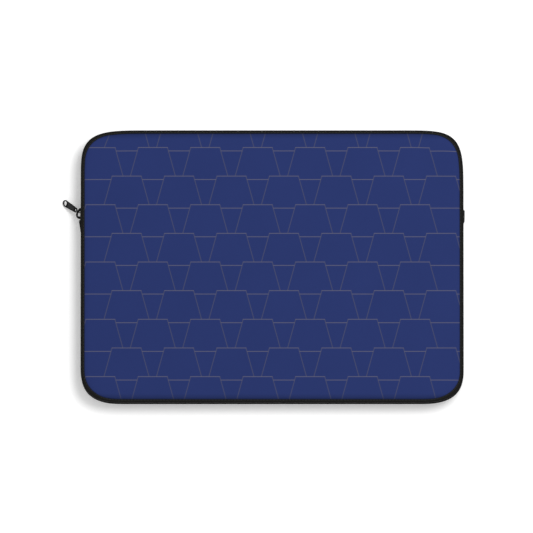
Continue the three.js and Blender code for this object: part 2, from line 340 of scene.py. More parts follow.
def plain_weave(shader, pitch):
    """Height of a plain weave: warp and weft yarns pass over each other by turns."""
    warp, weft = shader.wave(shader.u, pitch), shader.wave(shader.v, pitch)
    checker = shader.math("MULTIPLY", shader.wave(shader.u, 2 * pitch), shader.wave(shader.v, 2 * pitch))
    threads = shader.math("MAXIMUM", warp, weft)
    return shader.math("ADD", threads, checker)


DULL = 0.12  # specular level of cloth, webbing and matt paint

# The print, in millimetres: rows of trapezoids drawn in thin lines, each row shifted by half a period.
ROW_PITCH = 25.88
PERIOD = 47.24  # from one trapezoid's middle to the next
FIRST_ROW = 107.35  # top of the uppermost whole row
FIRST_CENTRE = -13.0  # middle of a trapezoid in that row
TOP_HALF = 13.1  # half a trapezoid's width at its top
BOTTOM_HALF = 20.3
LEDGE = 3.08  # from a row's top down to the level lines between its trapezoids
LAST_CENTRE = 172  # no trapezoid has its middle further out than this
LINE_WIDTH = 0.58
LINE_SOFT = 0.25  # half the width over which a line's edge fades
INK_SLANTED, INK_LEVEL = srgb(73, 75, 97), srgb(101, 99, 115)

# Beside the upper and lower binding the face is painted darker: painted shade where it rolls down.
EDGE_SHADE_BAND = 5.0
EDGE_SHADE_SHARE = 0.42


def trapezoid_lines(shader):
    """1 on the print's lines and 0 off them."""
    down = shader.math("MULTIPLY_ADD", shader.v, -1 / ROW_PITCH, FIRST_ROW / ROW_PITCH)
    row = shader.math("FLOOR", down)
    inside = shader.math("SUBTRACT", down, row)
    nearest = shader.math("ROUND", down)

    def from_centre(row_number):
        """The distance from the nearest trapezoid's middle, and 1 if that trapezoid is drawn."""
        shift = shader.math("MULTIPLY_ADD", row_number, PERIOD / 2, -FIRST_CENTRE)
        offset = shader.math("WRAP", shader.math("ADD", shader.u, shift), PERIOD / 2, -PERIOD / 2)
        centre = shader.math("ABSOLUTE", shader.math("SUBTRACT", shader.u, offset))
        return shader.math("ABSOLUTE", offset), shader.math("LESS_THAN", centre, LAST_CENTRE)

    def line(distance):
        """1 within half a line's width, softly."""
        gap = shader.math("SUBTRACT", LINE_WIDTH / 2 + LINE_SOFT, shader.math("ABSOLUTE", distance))
        return shader.math("MULTIPLY", gap, 1 / (2 * LINE_SOFT), clamp=True)

    sideways, drawn = from_centre(row)
    half = shader.math("MULTIPLY_ADD", inside, BOTTOM_HALF - TOP_HALF, TOP_HALF)
    outside = shader.math("SUBTRACT", sideways, half)
    lean = math.cos(math.atan2(BOTTOM_HALF - TOP_HALF, ROW_PITCH))
    slants = shader.math("MULTIPLY", line(shader.math("MULTIPLY", outside, lean)), drawn)
    missing = shader.math("SUBTRACT", 1.0, drawn)
    on_ledge = shader.math("MAXIMUM", shader.math("GREATER_THAN", outside, 0.0), missing)
    ledge_gap = shader.math("MULTIPLY_ADD", inside, ROW_PITCH, -LEDGE)
    ledges = shader.math("MULTIPLY", line(ledge_gap), on_ledge)
    top_gap = shader.math("MULTIPLY", shader.math("SUBTRACT", down, nearest), ROW_PITCH)
    top_sideways, top_drawn = from_centre(nearest)
    on_top = shader.math("LESS_THAN", top_sideways, TOP_HALF + LINE_WIDTH / 2)
    tops = shader.math("MULTIPLY", line(top_gap), shader.math("MULTIPLY", on_top, top_drawn))
    level = shader.math("MAXIMUM", ledges, tops)
    return shader.math("MAXIMUM", slants, level), level


def printed_fabric():
    shader = Shader("printed_fabric", srgb(34, 48, 100), 0.82, Sheen_Weight=0.03, Sheen_Roughness=0.5,
                    Specular_IOR_Level=DULL)
    cloud = shader.noise(18.0)
    fleck = shader.noise(2600.0, 1.0)
    shade = shader.math("MULTIPLY_ADD", fleck, 0.35, shader.math("MULTIPLY", cloud, 0.65))
    ground = shader.mix(shade, srgb(31, 45, 96), srgb(36, 50, 104))
    lines, level = trapezoid_lines(shader)
    ink = shader.mix(level, INK_SLANTED, INK_LEVEL)
    worn = shader.math("MULTIPLY", lines, shader.math("MULTIPLY_ADD", fleck, 0.2, 0.8))
    printed = shader.mix(worn, ground, ink)
    # painted shade: the print darkens towards the upper and lower binding
    bound_edge = HALF_HEIGHT / MM - BINDING_END
    upright = shader.math("ABSOLUTE", shader.v)
    edge_shade = shader.math("MULTIPLY_ADD", upright, 1 / EDGE_SHADE_BAND, 1 - bound_edge / EDGE_SHADE_BAND,
                         clamp=True)
    shader.color(shader.mix(shader.math("MULTIPLY", edge_shade, EDGE_SHADE_SHARE), printed, srgb(12, 20, 44)))
    shader.roughness(shader.math("MULTIPLY_ADD", fleck, 0.16, 0.70))
    shader.bump(plain_weave(shader, 0.42), distance=0.00006, strength=0.55)
    return shader.material


def webbing(name, inner, outer, rib, edge_at=None):
    """Grosgrain: ribs across its length. The inner colour turns into the outer one where v, in
    millimetres round the profile, is edge_at, or the two are mixed all over if that isn't given. On
    the binding the darker outer colour is painted shade where the bead turns down, and the ribs'
    lighter crests are a painted highlight."""
    shader = Shader(name, outer, 0.84, Sheen_Weight=0.02, Sheen_Roughness=0.5, Specular_IOR_Level=DULL)
    fuzz = shader.noise(900.0)
    if edge_at is None:
        side = fuzz
    else:
        turn = 1.6  # how much the share of each changes in a millimetre
        # painted shade: on the binding the outer part of the bead takes the darker colour
        side = shader.math("MULTIPLY_ADD", shader.v, -turn, 0.5 + turn * edge_at, clamp=True)
    tone = shader.mix(side, outer, inner)
    ribs = shader.wave(shader.u, rib)
    # painted highlight: the ribs' crests are coloured lighter, with random fuzz mixed in
    lift = shader.math("MULTIPLY_ADD", ribs, 0.5, shader.math("MULTIPLY", fuzz, 0.6))
    shader.color(shader.mix(shader.math("MULTIPLY", lift, 0.45), tone, tuple(1.7 * c for c in inner)))
    shader.roughness(shader.math("MULTIPLY_ADD", fuzz, 0.2, 0.66))
    shader.bump(shader.math("MULTIPLY_ADD", fuzz, 0.35, ribs), distance=0.00016, strength=0.8)
    return shader.material


def zip_tape_fabric():
    shader = Shader("zip_tape_fabric", srgb(28, 28, 30), 0.85, Sheen_Weight=0.06)
    cords = shader.wave(shader.v, 0.55)
    slant = shader.math("ADD", shader.u, shader.math("PINGPONG", shader.v, 1.1))
    twill = shader.wave(slant, 0.5)
    # painted highlight: the raised cords and twill lines are coloured lighter
    lift = shader.math("MULTIPLY_ADD", cords, 0.6, shader.math("MULTIPLY", twill, 0.5))
    shader.color(shader.mix(lift, srgb(20, 20, 22), srgb(38, 38, 40)))
    shader.bump(lift, distance=0.00012, strength=0.8)
    return shader.material


def fleece():
    shader = Shader("fleece", srgb(24, 24, 26), 0.97, Sheen_Weight=0.35, Sheen_Roughness=0.6)
    nap = shader.noise(700.0, 6.0)
    swirl = shader.noise(60.0)
    shader.color(shader.mix(shader.math("MULTIPLY", nap, swirl), srgb(15, 15, 17), srgb(46, 46, 50)))
    shader.bump(nap, distance=0.0004, strength=0.8)
    return shader.material


def nylon():
    shader = Shader("zip_nylon", srgb(20, 20, 21), 0.38)
    grain = shader.noise(1500.0)
    shader.color(shader.mix(grain, srgb(15, 15, 16), srgb(30, 30, 31)))
    shader.roughness(shader.math("MULTIPLY_ADD", grain, 0.2, 0.3))
    shader.bump(grain, distance=0.00002, strength=0.5)
    return shader.material


def thread(name, dark, light):
    shader = Shader(name, light, 0.6)
    twist = shader.wave(shader.math("ADD", shader.u, shader.v), 0.35)
    # painted highlight: the twisted plies are coloured lighter along their crests
    shader.color(shader.mix(twist, dark, light))
    shader.bump(twist, distance=0.00005, strength=0.8)
    return shader.material


def painted_metal(name, base, worn, edge_wear):
    """Black paint, with a little wear where the surface turns sharply."""
    shader = Shader(name, base, 0.4, Specular_IOR_Level=DULL)
    place_on = shader.add("ShaderNodeTexCoord").outputs["Object"]
    broad, fine = (shader.noise(scale, 2.0, place_on) for scale in (260.0, 1900.0))
    geometry = shader.add("ShaderNodeNewGeometry")
    sharp_enough = 0.53
    pointed = shader.math("SUBTRACT", geometry.outputs["Pointiness"], sharp_enough)
    rubbed = shader.math("MULTIPLY", pointed, edge_wear, clamp=True)
    rubbed = shader.math("MULTIPLY", rubbed, broad)
    shader.color(shader.mix(rubbed, shader.mix(fine, base, tuple(1.5 * c for c in base)), worn))
    shader.roughness(shader.math("MULTIPLY_ADD", broad, 0.3, 0.2))
    shader.bump(fine, distance=0.00003, strength=0.5)
    return shader.material


def satin_ribbon():
    shader = Shader("satin_ribbon", srgb(222, 219, 210), 0.45, Sheen_Weight=0.2)
    shader.color(shader.mix(shader.noise(80.0), srgb(212, 208, 198), srgb(230, 228, 220)))
    shader.bump(shader.wave(shader.u, 0.3), distance=0.00004, strength=0.6)
    return shader.material


PRINT = printed_fabric()
# the binding's lighter colour is its lit top; the darker one is painted shade on the bead
BINDING_LIT_TONE, BINDING_SHADED_TONE = srgb(17, 17, 15), srgb(9, 8, 8)
BINDING = webbing("binding_webbing", BINDING_LIT_TONE, BINDING_SHADED_TONE, 0.9, edge_at=2.6)
WALL = webbing("wall_webbing", srgb(26, 26, 27), srgb(20, 20, 21), 1.1)
TAPE = zip_tape_fabric()
FLEECE = fleece()
NYLON = nylon()
BLACK_THREAD = thread("black_thread", srgb(18, 18, 18), srgb(44, 44, 42))
METAL = painted_metal("painted_metal", srgb(6, 6, 7), srgb(30, 30, 32), 4.0)
RECESS = painted_metal("textured_recess", srgb(40, 40, 41), srgb(70, 70, 72), 3.0)
SATIN = satin_ribbon()


# ---- padded panels and linings
PANEL_INSET = 1.0 * MM
EDGE_LINES = (0, 0.5, 0.9, 1.3, 1.7, 2.2, 2.8, 3.5, 4.4, 5.5, 7, 9, 12, 16, 21)
GRID_STEP = 6 * MM


def grid_lines(half, corner):
    """Coordinates from -half to half: EDGE_LINES millimetres from the edges, and even between them."""
    side = [half - inset * MM for inset in EDGE_LINES if inset * MM < corner]
    flat = half - corner
    count = max(2, round(2 * flat / GRID_STEP))
    middle = list(np.linspace(-flat, flat, count + 1))
    return [-s for s in side] + middle + side[::-1]


def rounded_grid(inset):
    """Points of a grid bent to the outline's rounded corners, with each point's distance inside it."""
    a, b, r = HALF_WIDTH - inset, HALF_HEIGHT - inset, CORNER - inset
    xs, ys = grid_lines(a, r), grid_lines(b, r)
    points = []
    for y in ys:
        for x in xs:
            u, v = max(0, abs(x) - (a - r)) / r, max(0, abs(y) - (b - r)) / r
            if u > 0 and v > 0:
                bent_u, bent_v = u * math.sqrt(1 - v * v / 2), v * math.sqrt(1 - u * u / 2)
                x = math.copysign(a - r + r * bent_u, x)
                y_here = math.copysign(b - r + r * bent_v, y)
            else:
                y_here = y
            over_x, over_y = abs(x) - (a - r), abs(y_here) - (b - r)
            reach = math.hypot(max(over_x, 0), max(over_y, 0)) + min(max(over_x, over_y), 0)
            points.append((x, y_here, r - reach))
    return np.array(points), len(xs), len(ys)


def slab(name, inset, outer, inner, material):
    """A closed pad between two heights, outer(x, y, depth) and inner(x, y, depth)."""
    points, nx, ny = rounded_grid(inset)
    vertices = [(x, y, outer(x, y, d)) for x, y, d in points]
    vertices += [(x, y, inner(x, y, d)) for x, y, d in points]
    faces = []
    for quad in grid_quads(nx, ny):
        faces += [quad, tuple(nx * ny + q for q in quad[::-1])]
    faces += grid_sides(nx, ny)
    uvs = [vertices[k][:2] for face in faces for k in face]
    return crease(new_piece(name, vertices, faces, material, uvs), 60)


def ripple(x, y, seed):
    """A slow unevenness from -1 to 1, as in fabric over foam."""
    waves = ((31, 17, 0.0), (-19, 37, 1.7), (47, -29, 3.1), (11, 53, 4.4))
    return sum(math.sin(p * x + q * y + shift + seed) for p, q, shift in waves) / len(waves)


ROLL_START = 1.6 * MM
ROLL = 6 * MM
EDGE_DROP = 1.6 * MM
UNEVEN = 0.12 * MM
CALM_EDGE = 12 * MM  # the face is even at its bound edge, and fully uneven from here inwards
BACK_ROLL = 0.8  # how deep the back's rolled edge is, against the front's
BACK_LIFT = 0.02 * MM


def pillow(depth):
    """How far the face has sunk towards its bound edge, at a depth inside the outline."""
    t = min(max(0.0, (depth - ROLL_START) / ROLL), 1.0)
    return EDGE_DROP * (1 - math.sqrt(1 - (1 - t) ** 2))


FOAM_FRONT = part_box("front_lower_foam")[0].z
FOAM_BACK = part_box("back_foam")[1].z
LINING = 0.45 * MM
LINING_GAP = 0.12 * MM
LINING_INSET = 3.6 * MM


def front_face(x, y, depth):
    calm = smooth_step(depth / CALM_EDGE)
    return THICKNESS - UNEVEN - pillow(depth) + UNEVEN * calm * ripple(x, y, 0.4)


def back_face(x, y, depth):
    return BACK_LIFT + BACK_ROLL * pillow(depth)


def lining_bulge(x, y, depth):
    calm_edge = 10 * MM
    return 0.08 * MM * ripple(x, y, 2.0) * smooth_step(depth / calm_edge)


front_panel = slab("front_padded_panel", PANEL_INSET, front_face, lambda x, y, d: FOAM_FRONT, PRINT)
back_panel = slab("back_padded_panel", PANEL_INSET, back_face, lambda x, y, d: FOAM_BACK, PRINT)
front_lining = slab(
    "front_lining", LINING_INSET,
    lambda x, y, d: FOAM_FRONT - LINING_GAP,
    lambda x, y, d: FOAM_FRONT - LINING_GAP - LINING + lining_bulge(x, y, d), FLEECE)
back_lining = slab(
    "back_lining_fleece", LINING_INSET,
    lambda x, y, d: FOAM_BACK + LINING_GAP + LINING + lining_bulge(x, y, d),
    lambda x, y, d: FOAM_BACK + LINING_GAP, FLEECE)


# ---- binding
SKIN = 0.62  # the webbing's thickness, in millimetres
FLANGE_REST = 0.2  # the flange is as high as the face is this far beyond its edge, in millimetres


def flange_width(row):
    """How far the binding reaches over the face at a row of the path. row[2:4] is the outward normal."""
    side = (BINDING_SIDE - BINDING_END) * abs(row[2])
    return BINDING_END + side + BINDING_CORNER * (2 * row[2] * row[3]) ** 2


def binding_profile(row, sign, base):
    """The folded tape. Its points are in millimetres inwards from the edge and away from the panel's
    outer face, which is at the height base. sign is -1 if the way inside is down."""
    width = flange_width(row)
    bead = BEAD / MM
    sunk = pillow((width + FLANGE_REST) * MM) / MM
    outside = [(width, sunk + 0.3), (width - 0.1, sunk - 0.12), (width - 0.7, sunk - 0.02),
               (1.5, 0.32), (1.0, 0.2), (0.55, 0.36), (0.18, 0.85), (0.0, 1.7),
               (0.0, bead - 1.7), (0.2, bead - 0.85),
               (0.62, bead - 0.28), (1.3, bead - 0.04), (2.4, bead), (3.0, bead - 0.1)]
    inside = [(3.05, bead - SKIN), (2.2, bead - SKIN - 0.05), (1.2, bead - SKIN - 0.2),
              (SKIN + 0.1, bead - 1.5), (SKIN + 0.05, 2.5), (SKIN + 0.2, 1.9), (1.2, 1.75),
              (2.0, 1.7), (width - 0.25, sunk + 0.75)]
    return [(i * MM, base + sign * z * MM) for i, z in outside + inside]


def binding(name, sign, base):
    return sweep(name, ring, lambda row: binding_profile(row, sign, base), BINDING, closed=True)


ring = loop(2.5 * MM, 2 * MM)
front_binding = binding("front_edge_binding", -1, THICKNESS)
back_binding = binding("back_edge_binding", 1, 0)


# ---- stitching
def capsules(name, frames, length, radius, material):
    """Stitches: short rounded threads. Each frame is a place, a direction and the surface's normal."""
    stations = [(-0.5, 0.35), (-0.42, 0.8), (-0.2, 1.0), (0.2, 1.0), (0.42, 0.8), (0.5, 0.35)]
    sides = 6
    along_thread = [t * length for t, _ in stations]
    around = [k * radius for k in range(sides + 1)]
    vertices, faces, uvs = [], [], []
    for start, way, up in frames:
        way, up = Vector(way).normalized(), Vector(up).normalized()
        across = way.cross(up)
        base = len(vertices)
        for t, width in stations:
            centre = Vector(start) + way * (t * length)
            for k in range(sides):
                turn = TAU * k / sides
                spoke = across * math.cos(turn) + up * math.sin(turn)
                vertices.append(centre + spoke * radius * width)
        faces += ring_faces(len(stations), sides, base) + end_faces(len(stations), sides, base)
        uvs += ring_uvs(along_thread, around) + [(0.0, 0.0)] * (2 * sides)
    return new_piece(name, vertices, faces, material, uvs)


def frames_along(path, inset, z, up, pitch):
    """A frame for each stitch along a path. inset, z and up are functions of the path's row."""
    total = path[-1, 4]
    count = int(total / pitch)
    rows = along(path, (np.arange(count) + 0.5) * total / count)
    return [(place(row, inset(row), z(row)), (-row[3], row[2], 0), up(row)) for row in rows]


STITCH_PITCH = 2.9 * MM
STITCH = 2.2 * MM
FRONT_THREAD, BACK_THREAD = 0.17 * MM, 0.12 * MM  # radii
STITCH_LINE = 0.85  # from the flange's edge, in millimetres
STITCH_PROUD = 0.03 * MM


def flange_line(row):
    return (flange_width(row) - STITCH_LINE) * MM


def flange_depth(row):
    """How far the flange has sunk at its line of stitches."""
    return pillow(flange_line(row) + (STITCH_LINE + FLANGE_REST) * MM) - STITCH_PROUD


fine_ring = loop(2 * MM, 1 * MM)
front_stitches = capsules(
    "front_binding_stitches",
    frames_along(fine_ring, flange_line, lambda row: THICKNESS - flange_depth(row),
                 lambda row: (0, 0, 1), STITCH_PITCH),
    STITCH, FRONT_THREAD, BLACK_THREAD)
back_stitches = capsules(
    "back_binding_stitches",
    frames_along(fine_ring, flange_line, flange_depth, lambda row: (0, 0, -1), STITCH_PITCH),
    STITCH, BACK_THREAD, BLACK_THREAD)


# ---- seam tapes inside
def round_bar(near, far, low, high, radius, steps=3):
    """The outline of a rectangle with rounded corners, each of so many steps."""
    corners = [(near + radius, low + radius, 180), (far - radius, low + radius, 270),
               (far - radius, high - radius, 0), (near + radius, high - radius, 90)]
    points = []
    for x, y, start in corners:
        for k in range(steps + 1):
            turn = math.radians(start + 90 / steps * k)
            points.append((x + radius * math.cos(turn), y + radius * math.sin(turn)))
    return points


SEAM_NEAR, SEAM_FAR, SEAM_ROUND = 3.2 * MM, 6.0 * MM, 0.9 * MM


def seam_tape(name, node):
    low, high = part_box(node)
    bar = round_bar(SEAM_NEAR, SEAM_FAR, low.z, high.z, SEAM_ROUND)
    return sweep(name, ring, lambda row: bar, BINDING, closed=True)


back_seam = seam_tape("back_inner_binding", "back_seam_tape_bottom")
front_seam = seam_tape("front_inner_binding", "front_lower_seam_tape_bottom")


# ---- zip
top_path = outline(1, ZIP_LEFT, ZIP_RIGHT, 5 * MM, 2 * MM)
dense_path = outline(1, ZIP_LEFT, ZIP_RIGHT, 1 * MM, 0.7 * MM)
TAPE_SKIN = 0.42 * MM


def tape_profile(is_front):
    """The tape from beside the coil to its edge, which goes a little way under the binding."""
    sign = 1 if is_front else -1
    under_binding = 0.5 * MM
    far = MIDDLE - BEAD + under_binding
    shape = [(2.42, 0.6 * MM), (2.52, 2.2 * MM), (2.48, 4.2 * MM), (2.3, far)]
    outer = [(i * MM, MIDDLE + sign * z) for i, z in shape]
    inner = [(i + TAPE_SKIN, z) for i, z in outer[::-1]]
    return lambda row: outer + inner


front_tape = sweep("front_zip_tape", top_path, tape_profile(True), TAPE)
back_tape = sweep("back_zip_tape_woven", top_path, tape_profile(False), TAPE)

COIL_PITCH = 1.45 * MM
COIL_WIRE = 0.3 * MM
COIL_POINTS = 12  # for each turn
COIL_END = 1 * MM  # from each end of the path
# The wire runs round a squared oval. This is its middle, across from the middle of the wall and in
# from the outline, and half its size in each of these directions.
COIL_ACROSS, COIL_HALF_ACROSS = 1.72 * MM, 1.17 * MM
COIL_INSET, COIL_HALF_DEPTH = 1.47 * MM, 0.52 * MM


def squared(wave):
    """A sine or cosine, a little nearer to a square wave."""
    return math.copysign(abs(wave) ** 0.8, wave)


def coil(name, is_front):
    """One nylon wire wound into a flat coil, its heads at the middle of the wall."""
    sign, shift = (1, 0.0) if is_front else (-1, math.pi)
    total = dense_path[-1, 4] - 2 * COIL_END
    turns = int(total / COIL_PITCH)
    angles = np.linspace(0, TAU * turns, turns * COIL_POINTS + 1)
    rows = along(dense_path, COIL_END + angles / TAU * COIL_PITCH)
    points = []
    for angle, row in zip(angles, rows):
        across = COIL_ACROSS + COIL_HALF_ACROSS * squared(math.cos(angle + shift))
        inset = COIL_INSET + COIL_HALF_DEPTH * squared(math.sin(angle + shift))
        points.append(place(row, inset, MIDDLE + sign * across))
    vertices, faces = tube(points, COIL_WIRE, 6)
    uvs = [(vertices[k][0] + vertices[k][1], vertices[k][2]) for face in faces for k in face]
    return new_piece(name, vertices, faces, NYLON, uvs)


front_coil = coil("front_coil_teeth", True)
back_coil = coil("back_coil_teeth", False)


def coil_stitches(name, is_front):
    """The stitches that hold a coil to its tape, as many as it has turns. They face out of the wall."""
    seam, inset, length, radius = 1.9, 0.6 * MM, 1.3 * MM, 0.13 * MM
    z = MIDDLE + (seam if is_front else -seam) * MM
    frames = frames_along(dense_path, lambda row: inset, lambda row: z,
                          lambda row: (row[2], row[3], 0), COIL_PITCH)
    return capsules(name, frames, length, radius, BLACK_THREAD)


front_coil_thread = coil_stitches("front_coil_stitches", True)
back_coil_thread = coil_stitches("back_coil_stitches", False)


# ---- gusset and end tabs
gusset_low, gusset_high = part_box("bottom_gusset")
GUSSET_INSET, GUSSET_BULGE, GUSSET_SKIN = 1.55, 0.45, 1.2  # in millimetres
GUSSET_OVERLAP = 0.2 * MM  # how far it goes past the frame's gusset at each edge


def gusset_profile(row):
    """A strip that bulges outwards between the bindings, more at some places than at others."""
    s = row[4] / MM
    uneven = 0.14 * math.sin(s / 23) + 0.08 * math.sin(s / 9.7 + 1.3)
    low, high = (gusset_low.z - GUSSET_OVERLAP) / MM, (gusset_high.z + GUSSET_OVERLAP) / MM
    outer = []
    for z in np.linspace(low, high, 9):
        t = (z - low) / (high - low)
        outer.append((GUSSET_INSET - (GUSSET_BULGE + uneven) * math.sin(math.pi * t), z))
    inner = [(i + GUSSET_SKIN, z) for i, z in outer[::-1]]
    return [(i * MM, z * MM) for i, z in outer + inner]


lower_path = outline(-1, gusset_high.y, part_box("zip_stop_right")[0].y, 4 * MM, 2 * MM)
gusset = sweep("gusset_webbing", lower_path, gusset_profile, WALL)


def end_tab(name, node, side, proud_low, proud_high):
    """A folded piece of tape over a zip end, thicker where the coil's end lifts it: it stands proud of
    the wall by proud_low and proud_high millimetres at its two ends."""
    low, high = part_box(node)
    gap, seam_edge, seam_pitch = 0.2 * MM, 1.6 * MM, 2.3 * MM
    ys = np.linspace(low.y, high.y, 19)
    path = np.array([(side * HALF_WIDTH, y, side, 0, y - low.y) for y in ys])

    def proud(t):
        return proud_low + (proud_high - proud_low) * t

    def profile(row):
        t = row[4] / (high.y - low.y)
        ends = math.sqrt(max(0.0, 1 - abs(2 * t - 1) ** 7))
        reach = proud(t) * (0.35 + 0.65 * ends) * MM
        return round_bar(-reach, 1.0 * MM, low.z + gap, high.z - gap, 0.45 * MM)

    tab = sweep(name, path, profile, BINDING)
    frames = []
    for y in (low.y + seam_edge, high.y - seam_edge):
        reach = proud((y - low.y) / (high.y - low.y)) * MM
        for z in np.arange(low.z + 1.8 * MM, high.z - 1.5 * MM, seam_pitch):
            frames.append(((side * (HALF_WIDTH + reach), y, z), (0, 0, 1), (side, 0, 0)))
    seam = capsules(name + "_stitches", frames, 1.8 * MM, 0.16 * MM, BLACK_THREAD)
    return tab, seam


left_tab, left_tab_seam = end_tab("left_end_tab", "zip_end_tab_left", -1, proud_low=0.1, proud_high=1.85)
right_tab, right_tab_seam = end_tab("right_end_tab", "zip_end_tab_right", 1, proud_low=1.0,
                                    proud_high=1.15)


# ---- care label
label_low, label_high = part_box("care_label")
LABEL_TUCK = 0.8 * MM
LABEL_PLIES = (0.0, 0.14 * MM, 0.3 * MM, 0.42 * MM)  # the two faces of each of its two plies


def label():
    """A folded ribbon that lies on the lining, its end lifted a little."""
    nx, ny = 17, 7
    xs = np.linspace(label_low.x - LABEL_TUCK, label_high.x, nx)
    ys = np.linspace(label_low.y, label_high.y, ny)
    vertices = []
    for height in LABEL_PLIES:
        for y in ys:
            for x in xs:
                t = (x - xs[0]) / (xs[-1] - xs[0])
                lift = (0.3 + 1.6 * t * t) * MM * (0.8 + 0.2 * math.cos(9 * (y - ys[0]) / ys[0] + 3 * t))
                vertices.append((x, y, label_low.z + lift + height * (1 - 0.4 * t ** 6)))
    faces = []
    size = nx * ny
    for side in range(len(LABEL_PLIES)):
        for quad in grid_quads(nx, ny):
            quad = tuple(side * size + k for k in quad)
            faces.append(quad if side % 2 else quad[::-1])
    for side in (0, 2):
        faces += grid_sides(nx, ny, side * size)
    uvs = [vertices[k][:2] for face in faces for k in face]
    return crease(new_piece("blank_care_label", vertices, faces, SATIN, uvs), 60)


care_label = label()


# ---- slider, link and pull tab
SLIDER_HALF_LENGTH = 5.5 * MM
SLIDER = Matrix.Translation((-HALF_WIDTH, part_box("slider_body")[0].y + SLIDER_HALF_LENGTH, MIDDLE))


def plate(name, outlines, thickness, bevel, material, matrix):
    """A flat part with holes and rounded edges, from closed outlines in millimetres."""
    curve = bpy.data.curves.new(name, "CURVE")
    curve.dimensions = "2D"
    curve.fill_mode = "BOTH"
    curve.extrude = (thickness / 2 - bevel) * MM
    curve.bevel_depth = bevel * MM
    curve.bevel_resolution = 3
    curve.offset = -bevel * MM
    for points in outlines:
        spline = curve.splines.new("POLY")
        spline.points.add(len(points) - 1)
        for point, (x, y) in zip(spline.points, points):
            point.co = (x * MM, y * MM, 0, 1)
        spline.use_cyclic_u = True
    shape = add_object(name + "_outline", curve)
    bpy.context.view_layer.update()
    evaluated = shape.evaluated_get(bpy.context.evaluated_depsgraph_get())
    mesh = bpy.data.meshes.new_from_object(evaluated)
    bpy.data.objects.remove(shape)
    mesh.name = name
    mesh.transform(matrix)
    face_outwards(mesh, weld=1e-7)
    mesh.materials.clear()
    mesh.materials.append(material)
    mesh.shade_smooth()
    return crease(add_object(name, mesh), 35)


def wire_piece(name, points, radius, material, matrix, sides):
    vertices, faces = tube([Vector(p) * MM for p in points], radius * MM, sides)
    piece = new_piece(name, vertices, faces, material)
    piece.data.transform(matrix)
    return crease(piece, 60)


def join(name, pieces):
    first = pieces[0]
    with bpy.context.temp_override(
            active_object=first, object=first,
            selected_editable_objects=pieces, selected_objects=pieces):
        bpy.ops.object.join()
    first.name = name
    first.data.name = name
    return first


def spline_points(controls, count):
    """A smooth curve through the control points."""
    p = np.array(controls, float)
    p = np.vstack([2 * p[0] - p[1], p, 2 * p[-1] - p[-2]])
    points = []
    spans = len(p) - 3
    for t in np.linspace(0, spans - 1e-9, count):
        k, f = int(t), t - int(t)
        a, b, c, d = p[k:k + 4]
        points.append(0.5 * (2 * b + (c - a) * f + (2 * a - 5 * b + 4 * c - d) * f ** 2
                             + (3 * b - a - 3 * c + d) * f ** 3))
    return points


def mirrored(side, *middle):
    """An outline from its half on one side of y = 0, and the points on that line, if any."""
    return [*side, *middle, *((x, -y) for x, y in side[::-1])]


# A plate's x runs along the chain, its y across the chain and its z in through the wall.
AXES = Matrix(((0, 0, 1, 0), (1, 0, 0, 0), (0, 1, 0, 0), (0, 0, 0, 1)))


def slider_casting():
    """Two plates on a post, with rails between them, and an arched bridge on the outer plate."""
    parts = []

    def block(name, outline_points, inset, thickness, bevel):
        matrix = SLIDER @ Matrix.Translation((inset * MM, 0, 0)) @ AXES
        parts.append(plate(name, [outline_points], thickness, bevel, METAL, matrix))

    side = [(5.5, 2.2), (5.42, 2.7), (5.1, 3.15), (4.5, 3.4), (2.0, 3.7), (-0.8, 4.05), (-2.2, 4.28),
            (-3.2, 4.3), (-4.2, 4.1), (-5.0, 3.6), (-5.45, 2.8), (-5.5, 2.2), (-4.9, 0.8)]
    body = mirrored(side, (-4.6, 0))
    block("outer_plate", body, inset=-0.1, thickness=0.9, bevel=0.28)
    block("inner_plate", body, inset=3.7, thickness=0.9, bevel=0.28)
    rail = [(-4.2, 3.42), (2.4, 3.42), (2.6, 3.6), (2.4, 3.8), (-0.8, 4.1), (-4.2, 4.2)]
    for sign in (-1, 1):
        block("rail", [(x, sign * y) for x, y in rail], inset=1.1, thickness=1.9, bevel=0.12)
    post = [(-4.3, 0.2), (-0.9, 0.2), (-0.7, 0), (-0.9, -0.2), (-4.3, -0.2), (-4.5, 0)]
    block("post", post, inset=1.8, thickness=3.2, bevel=0.04)
    arch = [(-0.2, 4.6, 0), (-1.2, 4.0, 0), (-2.5, 2.25, 0), (-3.3, 0.7, 0), (-3.55, -0.7, 0),
            (-3.15, -2.3, 0), (-2.0, -3.35, 0), (-0.2, -3.65, 0)]
    parts.append(wire_piece("arch", spline_points(arch, 48), 0.9, METAL, SLIDER, 16))
    housing = mirrored([(5.3, 0.7), (4.9, 1.2), (3.0, 1.3), (2.4, 0.8)])
    block("arch_housing", housing, inset=-0.85, thickness=1.5, bevel=0.4)
    foot = mirrored([(-2.1, 0.3), (-2.3, 0.65), (-3.6, 0.7), (-3.8, 0.4)])
    block("arch_foot", foot, inset=-1.2, thickness=2.2, bevel=0.25)
    return join("slider_casting", parts)


slider = slider_casting()

link_at, tab_at = (Vector(joint(name)["pos_m"]) for name in ("link_tilt", "tab_swing"))
pull_x = (tab_at - link_at).normalized()
pull_z = Vector(joint("tab_swing")["axis"]).normalized()
pull_y = pull_z.cross(pull_x)
TURN = Matrix((pull_x, pull_y, pull_z)).transposed().to_4x4()
LINK = Matrix.Translation(link_at) @ TURN
TAB_ROLL = math.radians(-35)  # how far the tab is turned about its own length
TAB = Matrix.Translation(tab_at) @ TURN @ Matrix.Rotation(TAB_ROLL, 4, "X")
LINK_REACH = (tab_at - link_at).length / MM


